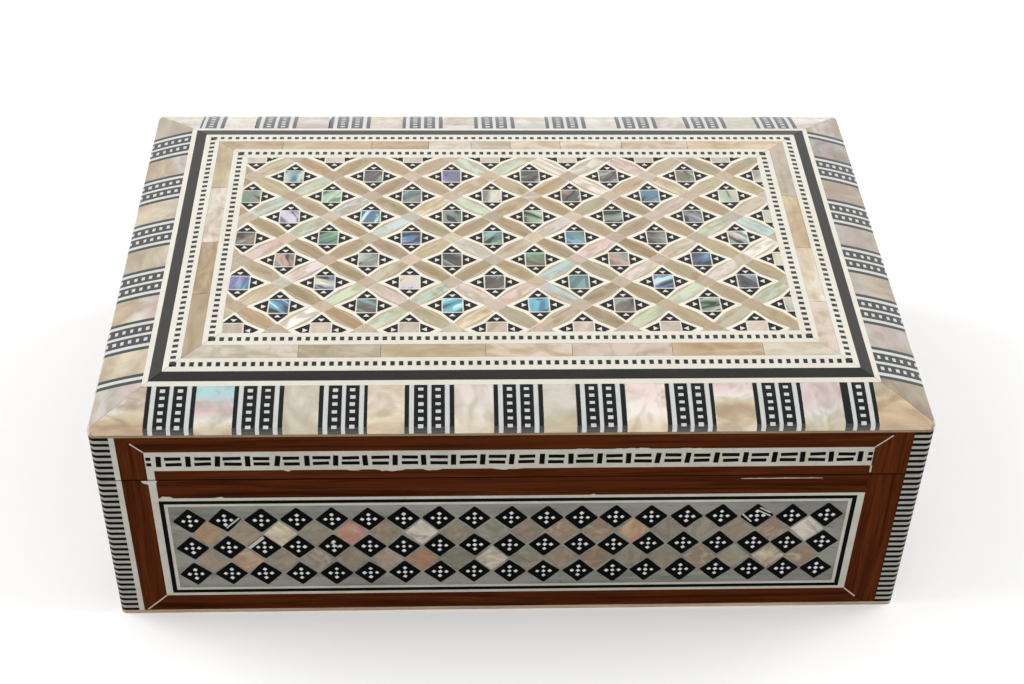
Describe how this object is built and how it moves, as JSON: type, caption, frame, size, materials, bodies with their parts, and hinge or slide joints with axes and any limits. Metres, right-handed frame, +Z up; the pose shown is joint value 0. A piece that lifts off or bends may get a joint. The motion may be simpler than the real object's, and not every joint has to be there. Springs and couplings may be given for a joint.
{
  "type": "inlaid wooden box",
  "caption": "Low rectangular wooden box covered in mother-of-pearl, bone and ebony marquetry, with a softly arched, hinged lid and a velvet-lined inside.",
  "frame": {"origin": "centre of the underside, on the surface that the box stands on", "axes": "+X to the right seen from the front, the front faces -Y, +Z up"},
  "size_m": [0.229, 0.152, 0.08],
  "materials": {
    "carcass_wood": "plain sanded softwood",
    "board_wood": "thin pale plywood, lacquered at the edge",
    "frame_wood": "dark red-brown hardwood veneer under gloss lacquer",
    "ebony": "black wood inlay under gloss lacquer",
    "bone": "pale camel-bone inlay under gloss lacquer",
    "filler": "cast pale filler between tiles, sanded flush and lacquered",
    "pearl": "mother-of-pearl with soft iridescence under gloss lacquer",
    "abalone": "abalone shell, strongly iridescent, under gloss lacquer",
    "velvet": "short-pile velvet over card",
    "brass": "lightly worn brass"
  },
  "bodies": {
    "base": {"base_back_frame": "frame_wood", "base_back_wall": "carcass_wood", "base_bone_edge_strip": "bone", "base_bottom_board": "board_wood", "base_corner_bone_layers": "bone", "base_corner_ebony_layers": "ebony", "base_dotted_diamonds": "ebony", "base_ebony_string": "ebony", "base_floor_lining": "velvet", "base_front_frame": "frame_wood", "base_front_wall": "carcass_wood", "base_hinge_screws": "brass", "base_inner_bone_string": "bone", "base_left_frame": "frame_wood", "base_left_wall": "carcass_wood", "base_outer_bone_string": "bone", "base_panel_filler": "filler", "base_pearl_diamonds": "pearl", "base_right_frame": "frame_wood", "base_right_wall": "carcass_wood", "base_wall_linings": "velvet", "left_hinge_base_leaf": "brass", "left_hinge_pin": "brass", "right_hinge_base_leaf": "brass", "right_hinge_pin": "brass"},
    "lid": {"left_hinge_lid_leaf": "brass", "lid_abalone_squares": "abalone", "lid_back_rail": "carcass_wood", "lid_bone_edge_strip": "bone", "lid_bone_strips": "bone", "lid_corner_bone_layers": "bone", "lid_corner_ebony_layers": "ebony", "lid_crossing_plates": "pearl", "lid_ebony_border": "ebony", "lid_ebony_dashes": "ebony", "lid_field_filler": "filler", "lid_fifth_bone_line": "bone", "lid_first_bone_line": "bone", "lid_fourth_bone_line": "bone", "lid_front_rail": "carcass_wood", "lid_hinge_screws": "brass", "lid_inner_checker_row": "ebony", "lid_left_rail": "carcass_wood", "lid_outer_checker_row": "ebony", "lid_pearl_border": "pearl", "lid_pearl_ribbons": "pearl", "lid_pearl_rim_tiles": "pearl", "lid_right_rail": "carcass_wood", "lid_rim_line": "bone", "lid_second_bone_line": "bone", "lid_star_tiles": "ebony", "lid_striped_rim_tiles": "ebony", "lid_third_bone_line": "bone", "lid_top_board": "carcass_wood", "lid_top_lining": "velvet", "lid_wall_linings": "velvet", "lid_wood_frames": "frame_wood", "right_hinge_lid_leaf": "brass"}
  },
  "joints": [
    {"name": "lid_hinge", "type": "hinge", "parent": "base", "child": "lid", "pos_m": [0, 0.0748, 0.0554], "axis": [-1, 0, 0], "range_deg": [0, 100]}
  ]
}
